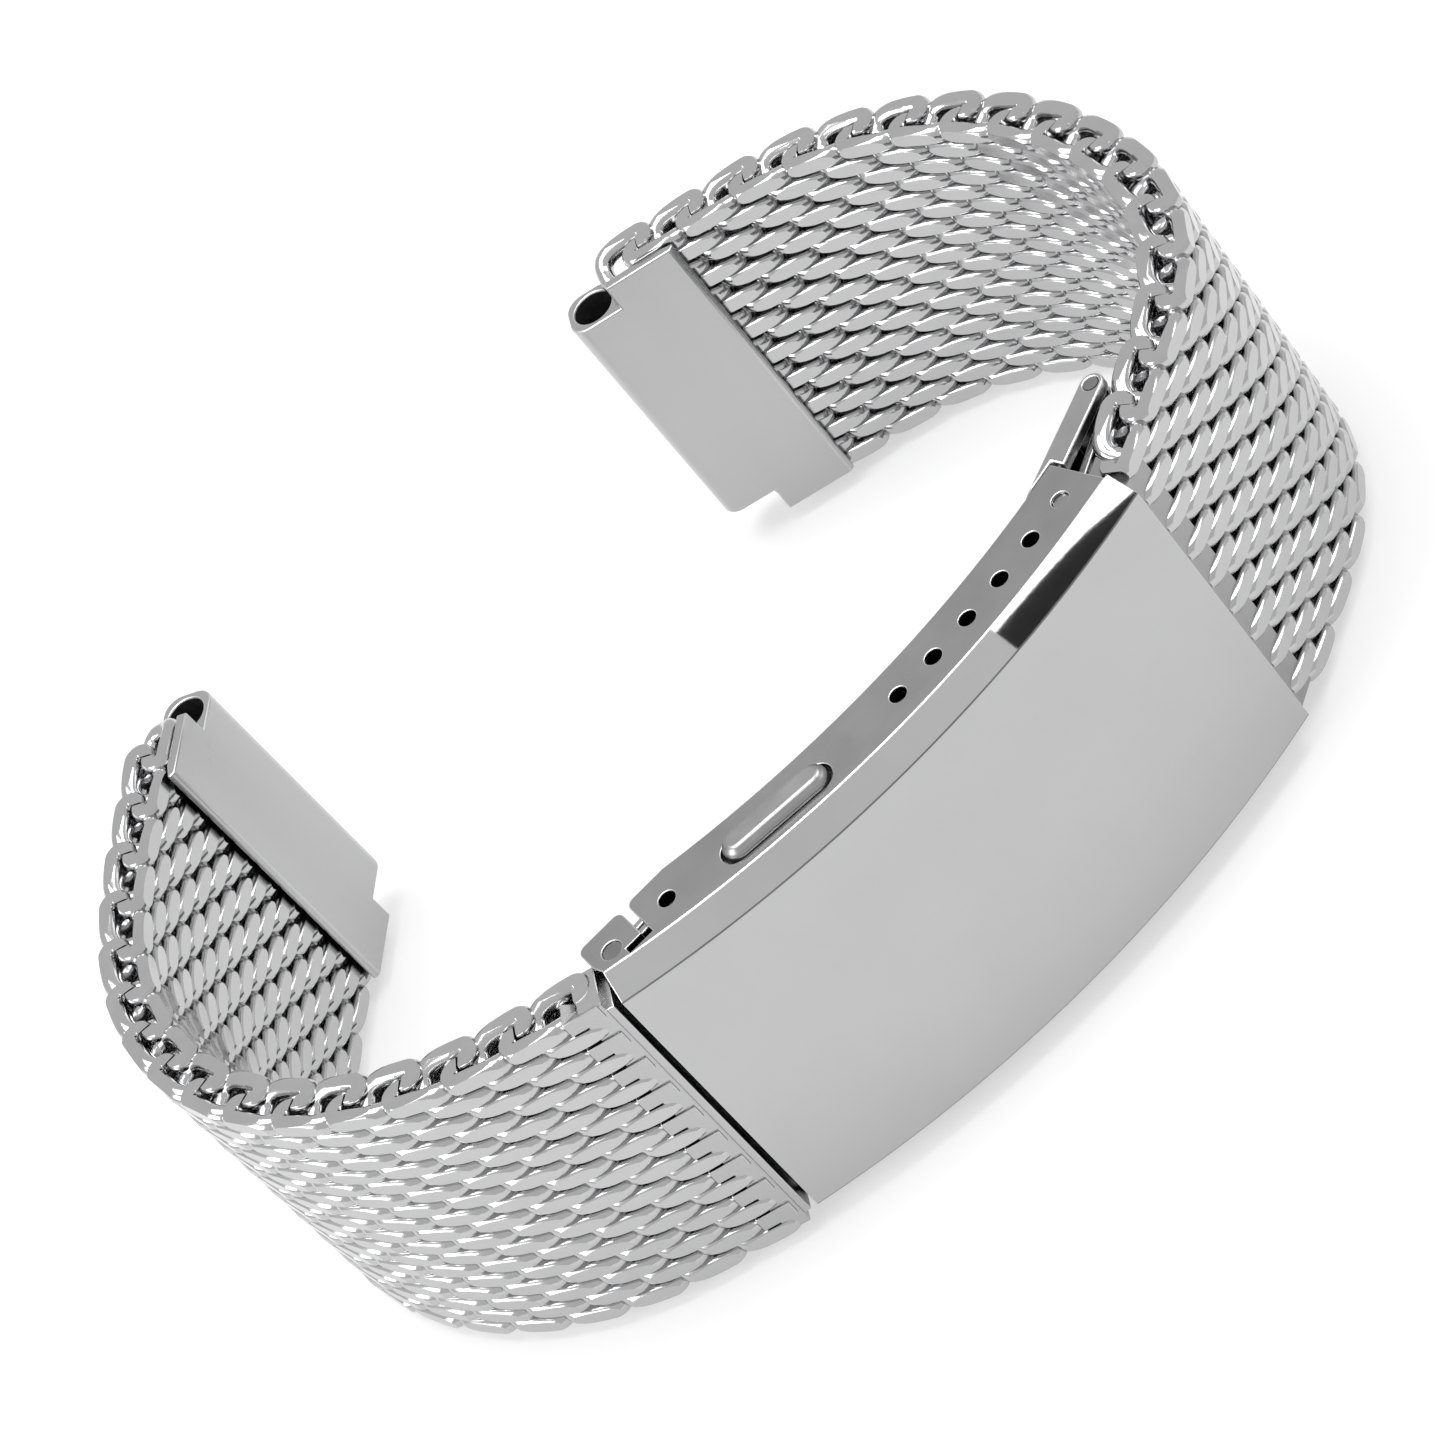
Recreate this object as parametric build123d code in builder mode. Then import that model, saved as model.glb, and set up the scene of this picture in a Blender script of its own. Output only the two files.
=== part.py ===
"""A woven steel mesh bracelet with a folding push-button clasp, closed and lying on its edge.

The frame has +Z up along the wrist's axis. The clasp's shape is drawn in clasp coordinates:
X along the cover's chord from its left end, Y towards the wrist, Z from the band's mid-plane.
The origin of the part lies below the middle of the loop, on the surface it lies on.
"""
import os
from math import asin, atan2, cos, degrees, radians, sin

from build123d import *

os.makedirs("parts", exist_ok=True)

# The woven band: wires bent into flat coils that hook through each other
band_half = 11.0  # half of the band's width
strand_width = 1.1
strand_level = 1.08  # height of a strand's line above and below the band's middle
strand_rise = 0.5  # from a strand's line out to its ground flat face
strand_drop = 0.55  # from a strand's line in to its inner ridge
outer_reach = 1.41  # half length of an outer strand's line
inner_reach = 1.20  # half length of an inner strand's line, shorter so that the band can curl
turn_rise = 0.37  # as strand_rise, on the turns between the strands
turn_drop = 0.33
strand_count = 18  # strands of one coil, outer and inner by turns
tip_length = 1.08  # how far the wire's end hooks down at the band's edge

# The routes of the two straps, from the clasp: number of coils and turn of each, in degrees
pitch_a = 1.90
start_a = (39.25, 3.22)
heading_a = 35.0
bends_a = [(4, 0.0), (4, 6.3), (4, 6.2), (4, 4.0), (4, 4.5), (4, 4.1), (4, 5.7), (4, 0.0)]
pitch_b = 1.82
start_b = (-0.80, 1.83)
heading_b = 157.5
bends_b = [(3, 0.0), (4, -4.4), (4, -4.5), (4, -5.3), (4, -4.7), (4, -4.8), (4, -2.9), (4, -0.2)]

# The cover: a curved channel. Its radii are about the clasp's centre, which lies so that
# the crown of the cover stands out from the chord by the bulge.
top_radius = 66.9
cover_bulge = 2.8
cover_half_length = 19.135
cover_thickness = 1.3
bevel_height = 1.5
wall_height = 5.6
wall_end_step = 0.25  # the walls are this much shorter than the top
clasp_centre = (19.15, top_radius - cover_bulge)
ceiling_radius = top_radius - cover_thickness
bevel_radius = top_radius - bevel_height
rim_radius = top_radius - wall_height
cover_half_angle = degrees(asin(cover_half_length / top_radius))
wall_end_angle = cover_half_angle - degrees(wall_end_step / top_radius)
wall_half = 11.3  # half of the clasp's width
wall_thickness = 0.9
bevel_width = 1.2
flat_half = wall_half - bevel_width  # half width of the flat top
wall_inner_half = wall_half - wall_thickness

# The ear that the relief slot frees from each wall, and its pin
pin_centre = (1.62, 2.25)
pin_radius = 0.6
slot_width = 0.5
slot_right = 3.85
slot_left = 2.2
slot_depth = 1.05  # Y of the slot's bottom edge
ear_left = 0.25
ear_root_step = 0.1
ear_root_radius = bevel_radius - ear_root_step  # where the ear's left edge leaves the cover's end
rim_level = 4.1  # Y of the straight rim at this end of the walls
rim_straight_end = 6.5
rim_corner = 0.5

# Adjustment holes and the single access hole
hole_depth = 3.4  # from the cover's crown to the line of holes
hole_circle = top_radius - hole_depth
hole_radius = 0.53
hole_count = 6
hole_last_run = 16.2807  # along the line of holes, from the cover's middle
hole_pitch = 2.743
access_run = 13.6762
hole_last_angle = degrees(hole_last_run / hole_circle)
hole_step_angle = degrees(hole_pitch / hole_circle)
access_angle = -degrees(access_run / hole_circle)

# Push buttons and the block that guides them
button_depth = 3.2  # from the cover's crown to the button's middle
button_run = 6.3927
button_circle = top_radius - button_depth
button_angle = -degrees(button_run / button_circle)
button_length = 7.0
button_height = 1.9
button_proud = 0.65
button_travel = 0.8
button_edge = 0.35
window_gap = 0.05  # above and below a button
window_end_gap = 0.25  # at a button's round ends
flange_lip = 0.3
flange_thickness = 0.5
block_height = 3.15
block_inner_radius = ceiling_radius - block_height
block_half_angle = 4.3
block_half = 9.0
stem_radius = 0.7
stem_gap = 0.05
spring_outer = 1.1
spring_inner = 0.85
spring_pocket = 1.25
spring_length = 3.2
catch_half = 2.2  # half width of the catch post
catch_gap = 0.1  # between the post and each stem's nose
catch_length = 2.4
catch_depth = 1.0  # of the post's top below the cover's ceiling
catch_top_radius = ceiling_radius - catch_depth
catch_neck = 0.5

# The two blades, nested under the cover
blade_thickness = 0.5
blade_gap = 0.2
block_to_blade = 0.9
upper_outer_radius = block_inner_radius - block_to_blade
upper_inner_radius = upper_outer_radius - blade_thickness
lower_outer_radius = upper_inner_radius - blade_gap
lower_inner_radius = lower_outer_radius - blade_thickness
blade_side_gap = 0.2
blade_half = wall_inner_half - blade_side_gap
knuckle_radius = 0.88
upper_ramp_angle = -8.0
ramp_overlap_angle = 1.0  # how far a ramp's outline runs on into the curved web
web_start_angle = wall_end_angle + 0.3  # past the walls the web is as wide as the clasp
arm_relief_angle = wall_end_angle + 0.2  # up to here the arms give way to the walls
upper_end_angle = wall_end_angle + 1.8
arm_start = (33.3, 3.45)
rivet_centre = (41.38, 7.78)
rivet_radius = 0.45
arm_width = 1.5
arm_thickness = 0.7
lower_knuckle_radius = 0.75
lower_ramp_angle = -9.0

# Plates under the ends of the straps, the end bar and the link's eye
plate_thickness = 0.5
plate_reach = 1.7  # from the last coil's line towards the free band
relief_length = 1.0
relief_depth = 0.25
bar_thickness = 0.65
bar_cut = 0.4  # from the last coil's line to the flat ground end
bar_level = 1.35
link_eye_radius = 1.15
link_side_gap = 0.1
link_half = wall_inner_half - link_side_gap
bar_tube_radius = 0.75
bar_tube_end_gap = 0.8
bar_tube_half = wall_inner_half - bar_tube_end_gap
bar_tube_bore = 0.53
bar_tip_radius = 0.5
bar_tip_length = 3.2
bar_spring_inner = 0.3

# The two end pieces that take the watch's spring bars
end_half = 10.77
end_length = 4.8
end_thickness = 0.72
end_chamfer = 0.25
eye_outer = 1.72
eye_corner = 1.2
eye_bore = 1.3
eye_half = 8.95

# Clearances and the overrun of cuts
running_gap = 0.04
seat_gap = 0.02
wall_gap = 0.1
overrun = 1.0

strand_step = (2 * band_half - strand_width) / (strand_count - 1)
band_face = strand_level + strand_rise


def walk(start, heading, bends, pitch):
    """The coils' places (x, y, heading) along a strap, leaving the clasp."""
    places = [(start[0], start[1], heading)]
    for count, turn in bends:
        for step in range(count):
            x, y, before = places[-1]
            middle = radians(before + turn / 2)
            places.append((x + pitch * cos(middle), y + pitch * sin(middle), before + turn))
    return places


# Coil 0 of each strap is the one beside the clasp. Strap A is walked against its own
# direction, so its coils are turned by half a turn.
coils_a = [(x, y, heading + 180) for x, y, heading in walk(start_a, heading_a, bends_a, pitch_a)]
coils_b = walk(start_b, heading_b, bends_b, pitch_b)

# Each end piece's eye lies past the last coil, at the wrist side
eye_reach = outer_reach + turn_rise + seat_gap + eye_outer
eye_level = -band_face - end_thickness + eye_outer


def eye_place(coil, side):
    """The eye's centre: side is +1 where the strap runs on towards it, -1 where it runs away."""
    x, y, heading = coil
    along = Vector(cos(radians(heading)), sin(radians(heading)))
    outward = Vector(-along.Y, along.X)
    return Vector(x, y) + along * side * eye_reach + outward * eye_level


eye_a = eye_place(coils_a[-1], -1)
eye_b = eye_place(coils_b[-1], +1)
all_x = [x for x, y, heading in coils_a + coils_b]
middle_x = (min(all_x) + max(all_x)) / 2
low_y = clasp_centre[1] - top_radius
high_y = max(eye_a.Y, eye_b.Y) + eye_outer
middle_y = (low_y + high_y) / 2
middle_z = wall_half + button_proud


def on_circle(radius, angle):
    """A point at an angle from the clasp's middle, seen from the clasp's centre."""
    return (radius * sin(radians(angle)), -radius * cos(radians(angle)))


def polar(radius, angle):
    """The same point in clasp coordinates."""
    x, y = on_circle(radius, angle)
    return (clasp_centre[0] + x, clasp_centre[1] + y)


def level(z):
    """The plane at height z from the band's mid-plane, in clasp coordinates."""
    return Plane(origin=(-middle_x, -middle_y, middle_z + z))


def clasp_plane(z):
    """As level, with its origin at the clasp's centre."""
    x, y = clasp_centre
    return Plane(origin=(x - middle_x, y - middle_y, middle_z + z))


def coil_frame(coil):
    """A coil's own plane: X along the strap, Y outward, Z across the band."""
    x, y, heading = coil
    along = (cos(radians(heading)), sin(radians(heading)), 0)
    return Plane(origin=(x - middle_x, y - middle_y, middle_z), x_dir=along, z_dir=(0, 0, 1))


def reach_at(height):
    """Half length of a coil's line at a height, shorter towards the wrist."""
    share = (height / strand_level + 1) / 2
    return inner_reach + (outer_reach - inner_reach) * share


def ring(side, height, across, rise, drop):
    """Three corners of the wire's section: two on its flat outer face and the inner ridge."""
    out = side * (reach_at(height) + turn_rise)
    ridge = side * (reach_at(height) - turn_drop)
    return [
        (out, height + rise, across + strand_width / 2),
        (out, height + rise, across - strand_width / 2),
        (ridge, height - drop, across),
    ]


def coil_rings(hand):
    """Sections of one coil from its tip at the near edge to its tip at the far edge.

    A leading coil, hand +1, starts on the outer face; a trailing one, hand -1, on the inner.
    """
    edge = band_half - strand_width / 2
    tip_height = hand * (strand_level - tip_length)
    rings = [ring(hand, tip_height, edge, 0, 0)]
    for strand in range(strand_count):
        face = hand if strand % 2 == 0 else -hand
        across = edge - strand * strand_step
        for side in (face, -face):
            rings.append(
                ring(side, face * strand_level, across, face * strand_rise, face * strand_drop)
            )
    rings.append(ring(hand, -tip_height, -edge, 0, 0))
    return rings


def coil_solid(hand):
    """One coil: flat facets between neighbouring sections, closed by its two tips."""
    rings = coil_rings(hand)
    faces = [Face(Wire.make_polygon(rings[0])), Face(Wire.make_polygon(rings[-1]))]
    for number in range(len(rings) - 1):
        here, there = rings[number], rings[number + 1]
        is_turn = number % 2 == 0
        for first, second in ((0, 1), (1, 2), (2, 0)):
            a, b, c, d = here[first], here[second], there[second], there[first]
            if is_turn and (first, second) != (0, 1):
                faces.append(Face(Wire.make_polygon([a, b, c])))
                faces.append(Face(Wire.make_polygon([a, c, d])))
            else:
                faces.append(Face(Wire.make_polygon([a, b, c, d])))
    return Solid(Shell(faces))


leading_coil = coil_solid(1)
trailing_coil = coil_solid(-1)


def placed_coil(coils, number):
    """The coil with this number: the even ones lead, the odd ones trail."""
    shape = leading_coil if number % 2 == 0 else trailing_coil
    return shape.moved(coil_frame(coils[number]).location)


def finish(part, name):
    """Label a finished piece and write it under its name."""
    part.label = name
    export_step(part, f"parts/{name}.step")


# Strap A: coil 0 lies on the link plate, then sixteen hooked pairs
with BuildPart() as end_coil_a:
    add(placed_coil(coils_a, 0))
finish(end_coil_a.part, "coil_a_00")

for pair in range(1, len(coils_a) // 2 + 1):
    with BuildPart() as hooked_pair:
        add(placed_coil(coils_a, 2 * pair - 1))
        add(placed_coil(coils_a, 2 * pair))
    finish(hooked_pair.part, f"coil_pair_a_{pair:02d}")

# Strap B: coil 0 is ground flat and joined to the end bar, coil 1 is single
bar_plane = coil_frame(coils_b[0])
cut_plane = Plane(
    origin=bar_plane.from_local_coords(Vector(-bar_cut, 0, 0)), x_dir=(0, 0, 1), z_dir=bar_plane.x_dir
)
with BuildPart() as end_bar_b:
    add(placed_coil(coils_b, 0))
    split(bisect_by=cut_plane, keep=Keep.TOP)
    with BuildSketch(bar_plane):
        with Locations((-bar_cut - bar_thickness / 2 + seat_gap, (bar_level - band_face) / 2)):
            Rectangle(bar_thickness, band_face + bar_level)
    extrude(amount=blade_half, both=True)
finish(end_bar_b.part, "end_bar_b")

with BuildPart() as end_coil_b:
    add(placed_coil(coils_b, 1))
finish(end_coil_b.part, "coil_b_01")

for pair in range(1, len(coils_b) // 2):
    with BuildPart() as hooked_pair:
        add(placed_coil(coils_b, 2 * pair))
        add(placed_coil(coils_b, 2 * pair + 1))
    finish(hooked_pair.part, f"coil_pair_b_{pair:02d}")


def end_piece(coil, side, name):
    """A brushed plate on the wrist side of the last coils, rolled into an eye past their end."""
    plane = coil_frame(coil)
    outer_face = -band_face - seat_gap
    wrist_face = outer_face - end_thickness
    mesh_end = side * (outer_reach + turn_rise - end_length)
    eye_end = side * (outer_reach + turn_rise)
    eye_centre = side * eye_reach
    relief = side * relief_length
    with BuildPart() as piece:
        with BuildSketch(plane):
            with BuildLine():
                Polyline(
                    (eye_end, outer_face),
                    (mesh_end + relief, outer_face),
                    (mesh_end, outer_face - relief_depth),
                    (mesh_end, wrist_face + end_chamfer),
                    (mesh_end + side * end_chamfer, wrist_face),
                    (eye_end, wrist_face),
                    close=True,
                )
            make_face()
        extrude(amount=end_half, both=True)
        with BuildSketch(plane):
            with Locations((eye_centre, wrist_face + eye_outer)):
                RectangleRounded(2 * eye_outer, 2 * eye_outer, eye_corner)
            with Locations(((eye_end + eye_centre) / 2, wrist_face + end_thickness / 2)):
                Rectangle(abs(eye_centre - eye_end), end_thickness)
        extrude(amount=eye_half, both=True)
        with BuildSketch(plane):
            with Locations((eye_centre, wrist_face + eye_outer)):
                Circle(eye_bore)
        extrude(amount=end_half + overrun, both=True, mode=Mode.SUBTRACT)
    finish(piece.part, name)


end_piece(coils_a[-1], -1, "end_piece_a")
end_piece(coils_b[-1], +1, "end_piece_b")

# The cover: its channel section is turned about the clasp's centre
start_direction = Vector(sin(radians(-cover_half_angle)), -cos(radians(-cover_half_angle)), 0)
section_plane = Plane(
    origin=clasp_plane(0).origin, x_dir=start_direction, z_dir=start_direction.cross(Vector(0, 0, 1))
)
clasp_axis = Axis(clasp_plane(0).origin, (0, 0, 1))

with BuildPart() as cover:
    with BuildSketch(section_plane):
        with BuildLine():
            Polyline(
                (top_radius, 0),
                (top_radius, flat_half),
                (bevel_radius, wall_half),
                (rim_radius, wall_half),
                (rim_radius, wall_inner_half),
                (ceiling_radius, wall_inner_half),
                (ceiling_radius, 0),
                close=True,
            )
        make_face()
        mirror(about=Plane.XZ)
    revolve(axis=clasp_axis, revolution_arc=2 * cover_half_angle)
    # the walls stop a little before the top does, at the end where strap A enters
    with BuildSketch(clasp_plane(0)):
        with BuildLine():
            Polyline(
                on_circle(bevel_radius, wall_end_angle),
                on_circle(bevel_radius, upper_end_angle),
                on_circle(lower_inner_radius, upper_end_angle),
                on_circle(lower_inner_radius, wall_end_angle),
                close=True,
            )
        make_face()
    extrude(amount=wall_half + overrun, both=True, mode=Mode.SUBTRACT)
    # at the other end the walls' rim runs straight, over an ear on each wall
    with BuildSketch(level(0)):
        with Locations((0, rim_level)):
            Rectangle(rim_straight_end, rim_level, align=Align.MIN)
    extrude(amount=wall_half + overrun, both=True, mode=Mode.SUBTRACT)
    for side in (-1, 1):
        with BuildSketch(level(side * wall_inner_half)):
            with BuildLine():
                Polyline(
                    polar(ear_root_radius, -cover_half_angle),
                    (ear_left, pin_centre[1]),
                    (ear_left, rim_level),
                    (slot_right, rim_level),
                    (slot_right, slot_depth),
                    (slot_left, slot_depth),
                    close=True,
                )
            make_face()
        extrude(amount=side * (wall_half - wall_inner_half))
    # the relief slot: down from the rim, then left under the ear
    with BuildSketch(level(0)):
        with Locations((slot_right, slot_depth)):
            Rectangle(slot_width, rim_level, align=(Align.MAX, Align.MIN))
            Rectangle(slot_right - slot_left, slot_width, align=(Align.MAX, Align.MIN))
    extrude(amount=wall_half + overrun, both=True, mode=Mode.SUBTRACT)
    corners = [
        edge
        for edge in cover.edges().filter_by(Axis.Z)
        if abs(edge.center().Y + middle_y - rim_level) < seat_gap
        and edge.center().X + middle_x < slot_right + seat_gap
    ]
    fillet(corners, radius=rim_corner)
    # pin holes, adjustment holes, the access hole and the button windows
    with BuildSketch(level(0)):
        with Locations(pin_centre):
            Circle(pin_radius + seat_gap)
    extrude(amount=wall_half + overrun, both=True, mode=Mode.SUBTRACT)
    with BuildSketch(clasp_plane(0)):
        with PolarLocations(
            hole_circle,
            hole_count,
            start_angle=hole_last_angle - 90 - hole_step_angle * (hole_count - 1),
            angular_range=hole_step_angle * (hole_count - 1),
            endpoint=True,
        ):
            Circle(hole_radius)
        with PolarLocations(hole_circle, 1, start_angle=access_angle - 90):
            Circle(hole_radius)
        with PolarLocations(button_circle, 1, start_angle=button_angle - 90):
            SlotOverall(
                button_length + 2 * window_end_gap, button_height + 2 * window_gap, rotation=90
            )
    extrude(amount=wall_half + overrun, both=True, mode=Mode.SUBTRACT)
finish(cover.part, "cover")

with BuildPart() as hinge_pin:
    with BuildSketch(level(-wall_half + wall_gap)):
        with Locations(pin_centre):
            Circle(pin_radius)
    extrude(amount=2 * (wall_half - wall_gap))
finish(hinge_pin.part, "hinge_pin")


def sector(inner, outer, first_angle, last_angle):
    """Outline of a curved strip between two radii and two angles about the clasp's centre."""
    with BuildLine() as outline:
        CenterArc((0, 0), outer, first_angle - 90, last_angle - first_angle)
        CenterArc((0, 0), inner, first_angle - 90, last_angle - first_angle)
        Line(outline.edges()[0] @ 0, outline.edges()[1] @ 0)
        Line(outline.edges()[0] @ 1, outline.edges()[1] @ 1)
    return outline.line


# Heights of a resting button's flange, and the block that guides both buttons
flange_outer = wall_inner_half - wall_gap / 2
flange_inner = flange_outer - flange_thickness
with BuildPart() as button_block:
    with BuildSketch(clasp_plane(0)):
        with BuildLine():
            add(
                sector(
                    block_inner_radius,
                    ceiling_radius - seat_gap,
                    button_angle - block_half_angle,
                    button_angle + block_half_angle,
                )
            )
        make_face()
    extrude(amount=block_half, both=True)
    with BuildSketch(clasp_plane(0)):
        with PolarLocations(button_circle, 1, start_angle=button_angle - 90):
            Rectangle(2 * (ceiling_radius - button_circle), catch_length + 2 * catch_neck)
    extrude(amount=catch_half + catch_neck, both=True, mode=Mode.SUBTRACT)
    with BuildSketch(clasp_plane(0)):
        with PolarLocations(button_circle, 1, start_angle=button_angle - 90):
            Circle(stem_radius + stem_gap)
    extrude(amount=block_half + overrun, both=True, mode=Mode.SUBTRACT)
    for side in (-1, 1):
        with BuildSketch(clasp_plane(side * (flange_inner - spring_length))):
            with PolarLocations(button_circle, 1, start_angle=button_angle - 90):
                Circle(spring_pocket)
        extrude(amount=side * block_half, mode=Mode.SUBTRACT)
finish(button_block.part, "button_block")


def button(side, name):
    """A rounded button with a flange inside the wall and a stem whose nose reaches the post."""
    flange_face = side * flange_outer
    with BuildPart() as piece:
        with BuildSketch(clasp_plane(flange_face)):
            with PolarLocations(button_circle, 1, start_angle=button_angle - 90):
                SlotOverall(button_length, button_height, rotation=90)
        extrude(amount=side * (wall_half + button_proud) - flange_face)
        outer_face = piece.faces().sort_by(Axis.Z)[-1 if side > 0 else 0]
        chamfer(outer_face.edges(), length=button_edge)
        with BuildSketch(clasp_plane(flange_face)):
            with PolarLocations(button_circle, 1, start_angle=button_angle - 90):
                SlotOverall(button_length + 2 * flange_lip, button_height + 2 * flange_lip, rotation=90)
        extrude(amount=-side * flange_thickness)
        with BuildSketch(clasp_plane(flange_face)):
            with PolarLocations(button_circle, 1, start_angle=button_angle - 90):
                Circle(stem_radius)
        extrude(amount=side * (catch_half + catch_gap + button_travel) - flange_face)
    finish(piece.part, name)


def button_spring(side, name):
    """The closed sleeve that a button's coil spring fills, from the pocket's floor to the flange."""
    spring_face = side * flange_inner
    with BuildPart() as piece:
        with BuildSketch(clasp_plane(spring_face)):
            with PolarLocations(button_circle, 1, start_angle=button_angle - 90):
                Circle(spring_outer)
                Circle(spring_inner, mode=Mode.SUBTRACT)
        extrude(amount=-side * spring_length)
    finish(piece.part, name)


button(1, "button_near")
button(-1, "button_far")
button_spring(1, "button_spring_near")
button_spring(-1, "button_spring_far")

# The upper blade: a knuckle on the hinge pin, a curved web and two arms at its other end
pin_from_centre = Vector(pin_centre) - Vector(clasp_centre)
rivet_from_centre = Vector(rivet_centre) - Vector(clasp_centre)
arm_from_centre = Vector(arm_start) - Vector(clasp_centre)
arm_run = rivet_from_centre - arm_from_centre

with BuildPart() as upper_blade:
    with BuildSketch(clasp_plane(0)):
        with BuildLine():
            add(sector(upper_inner_radius, upper_outer_radius, upper_ramp_angle, upper_end_angle))
        make_face()
        with Locations(pin_from_centre):
            Circle(knuckle_radius)
        with BuildLine():
            Polyline(
                on_circle(upper_outer_radius, upper_ramp_angle + ramp_overlap_angle),
                on_circle(upper_inner_radius, upper_ramp_angle + ramp_overlap_angle),
                on_circle(upper_inner_radius, upper_ramp_angle),
                (pin_from_centre.X, pin_from_centre.Y + knuckle_radius),
                (pin_from_centre.X, pin_from_centre.Y + knuckle_radius / 2),
                on_circle(upper_outer_radius, upper_ramp_angle),
                close=True,
            )
        make_face()
        with Locations(pin_from_centre):
            Circle(pin_radius + running_gap, mode=Mode.SUBTRACT)
    extrude(amount=blade_half, both=True)
    with BuildSketch(clasp_plane(0)):
        with BuildLine():
            add(sector(upper_inner_radius, upper_outer_radius, web_start_angle, upper_end_angle))
        make_face()
    extrude(amount=wall_half, both=True)
    for side in (-1, 1):
        with BuildSketch(clasp_plane(side * wall_half)):
            with Locations((arm_from_centre + rivet_from_centre) / 2):
                SlotCenterToCenter(
                    arm_run.length, arm_width, rotation=degrees(atan2(arm_run.Y, arm_run.X))
                )
            with BuildLine():
                add(sector(rim_radius - wall_gap, top_radius, 0, arm_relief_angle))
            make_face(mode=Mode.SUBTRACT)
            with Locations(rivet_from_centre):
                Circle(rivet_radius + seat_gap, mode=Mode.SUBTRACT)
        extrude(amount=-side * arm_thickness)
finish(upper_blade.part, "upper_blade")

catch_middle = (catch_top_radius + upper_outer_radius) / 2
catch_height = catch_top_radius - upper_outer_radius - seat_gap
with BuildPart() as catch_post:
    with BuildSketch(clasp_plane(0)):
        with PolarLocations(catch_middle, 1, start_angle=button_angle - 90):
            Rectangle(catch_height, catch_length)
    extrude(amount=catch_half, both=True)
finish(catch_post.part, "catch_post")

# The lower blade: a knuckle between the arms, a curved web and the plate under strap B
bar_x, bar_y, bar_heading = coils_b[0]


def in_strap_b(along, outward):
    """A point given along and outward from coil 0 of strap B, seen from the clasp's centre."""
    x = bar_x + along * cos(radians(bar_heading)) - outward * sin(radians(bar_heading))
    y = bar_y + along * sin(radians(bar_heading)) + outward * cos(radians(bar_heading))
    return (x - clasp_centre[0], y - clasp_centre[1])


lower_end_angle = degrees(atan2(rivet_from_centre.X, -rivet_from_centre.Y))
plate_outer = -band_face - seat_gap
plate_wrist = plate_outer - plate_thickness
plate_far = pitch_b + plate_reach
plate_near = -bar_cut - bar_thickness / 2
with BuildPart() as lower_blade:
    with BuildSketch(clasp_plane(0)):
        with BuildLine():
            add(sector(lower_inner_radius, lower_outer_radius, lower_ramp_angle, lower_end_angle))
        make_face()
        with BuildLine():
            Polyline(
                on_circle(lower_outer_radius, lower_ramp_angle + ramp_overlap_angle),
                on_circle(lower_inner_radius, lower_ramp_angle + ramp_overlap_angle),
                on_circle(lower_inner_radius, lower_ramp_angle),
                in_strap_b(plate_near, plate_wrist),
                in_strap_b(plate_far, plate_wrist),
                in_strap_b(plate_far, plate_outer - relief_depth),
                in_strap_b(plate_far - relief_length, plate_outer),
                in_strap_b(plate_near, plate_outer),
                on_circle(lower_outer_radius, lower_ramp_angle),
                close=True,
            )
        make_face()
        with Locations(rivet_from_centre):
            Circle(lower_knuckle_radius)
            Circle(rivet_radius + running_gap, mode=Mode.SUBTRACT)
    extrude(amount=blade_half, both=True)
finish(lower_blade.part, "lower_blade")

with BuildPart() as arm_rivet:
    with BuildSketch(clasp_plane(-wall_half)):
        with Locations(rivet_from_centre):
            Circle(rivet_radius)
    extrude(amount=2 * wall_half)
finish(arm_rivet.part, "arm_rivet")

# The spring bar that holds strap A's link in the last adjustment holes
spring_bar_place = polar(hole_circle, hole_last_angle)
with BuildPart() as bar_tube:
    with BuildSketch(level(0)):
        with Locations(spring_bar_place):
            Circle(bar_tube_radius)
            Circle(bar_tube_bore, mode=Mode.SUBTRACT)
    extrude(amount=bar_tube_half, both=True)
finish(bar_tube.part, "spring_bar_tube")

tip_end = wall_half - 2 * wall_gap
with BuildPart() as bar_tips:
    for side in (-1, 1):
        with BuildSketch(level(side * tip_end)):
            with Locations(spring_bar_place):
                Circle(bar_tip_radius)
        extrude(amount=-side * bar_tip_length)
finish(bar_tips.part, "spring_bar_tips")

with BuildPart() as bar_spring:
    with BuildSketch(level(0)):
        with Locations(spring_bar_place):
            Circle(bar_tip_radius)
            Circle(bar_spring_inner, mode=Mode.SUBTRACT)
    extrude(amount=tip_end - bar_tip_length - seat_gap, both=True)
finish(bar_spring.part, "spring_bar_spring")

# The link plate under strap A's last coil, with its eye on the spring bar
link_plane = coil_frame(coils_a[0])
eye_local = link_plane.to_local_coords(
    Vector(spring_bar_place[0] - middle_x, spring_bar_place[1] - middle_y, middle_z)
)
with BuildPart() as link_plate:
    with BuildSketch(link_plane):
        with BuildLine():
            Polyline(
                (eye_local.X, plate_outer),
                (relief_length - plate_reach, plate_outer),
                (-plate_reach, plate_outer - relief_depth),
                (-plate_reach, plate_wrist),
                (eye_local.X, plate_wrist),
                close=True,
            )
        make_face()
        with Locations((eye_local.X, eye_local.Y)):
            Circle(link_eye_radius)
            Circle(bar_tube_radius + running_gap, mode=Mode.SUBTRACT)
    extrude(amount=link_half, both=True)
finish(link_plate.part, "link_plate_a")
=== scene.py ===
# %% [markdown]
# # A woven steel mesh bracelet
# This notebook dresses a finished CAD model of a bracelet. The bracelet lies on its edge,
# closed by a folding clasp, with its two end pieces facing each other across an open gap.
# Every size is in metres, and every piece is made where the CAD model says it is.

# %% Load the frame
from math import cos, pi, radians, sin

import bmesh
import bpy
from mathutils import Matrix, Vector


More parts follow.
